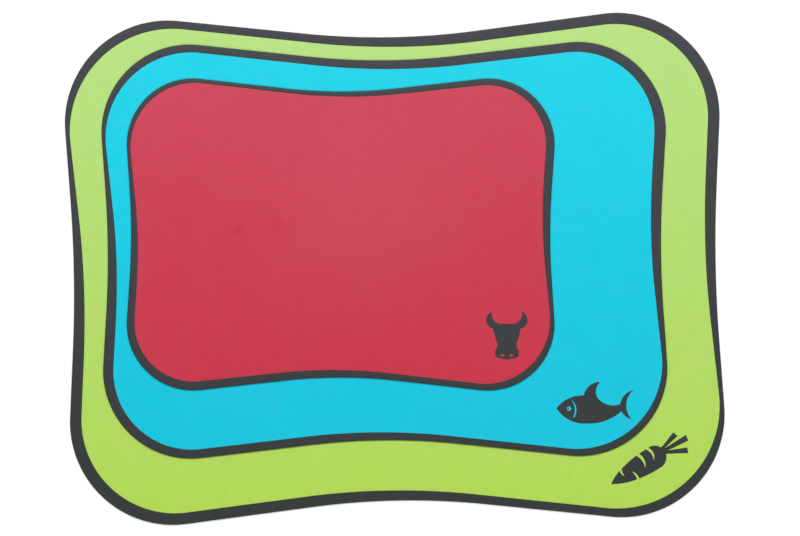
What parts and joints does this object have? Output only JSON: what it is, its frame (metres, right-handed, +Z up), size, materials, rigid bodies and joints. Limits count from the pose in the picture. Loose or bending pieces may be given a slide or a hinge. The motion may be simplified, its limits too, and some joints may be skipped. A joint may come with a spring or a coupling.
{
  "type": "flexible cutting mat set",
  "caption": "Nested set of flexible cutting mats in green, blue and red plastic, each with a charcoal soft edge and an inlaid carrot, fish or bull's head symbol.",
  "frame": {"origin": "under the middle of the large mat, on the surface that the stack lies on", "axes": "+X to the right along the mats' long side, +Y to the back, away from the symbols' side, +Z up through the stack"},
  "size_m": [0.38, 0.2928, 0.0045],
  "materials": {
    "green_panel": "satin green polypropylene sheet, very faintly mottled",
    "blue_panel": "satin blue polypropylene sheet, very faintly mottled",
    "red_panel": "satin red polypropylene sheet, very faintly mottled",
    "charcoal_soft_edge": "matte charcoal thermoplastic rubber, moulded on",
    "charcoal_inlay": "matte charcoal thermoplastic rubber, flush with the panel"
  },
  "bodies": {
    "large_mat": {"large_panel": "green_panel", "large_soft_edge": "charcoal_soft_edge", "carrot_inlay": "charcoal_inlay"},
    "middle_mat": {"middle_panel": "blue_panel", "middle_soft_edge": "charcoal_soft_edge", "fish_inlay": "charcoal_inlay"},
    "small_mat": {"small_panel": "red_panel", "small_soft_edge": "charcoal_soft_edge", "bull_inlay": "charcoal_inlay"}
  },
  "joints": [
    {"name": "middle_mat_lift", "type": "slide", "parent": "large_mat", "child": "middle_mat", "axis": [0, 0, 1], "range_m": [0, 0.06]},
    {"name": "small_mat_lift", "type": "slide", "parent": "middle_mat", "child": "small_mat", "axis": [0, 0, 1], "range_m": [0, 0.06]}
  ]
}
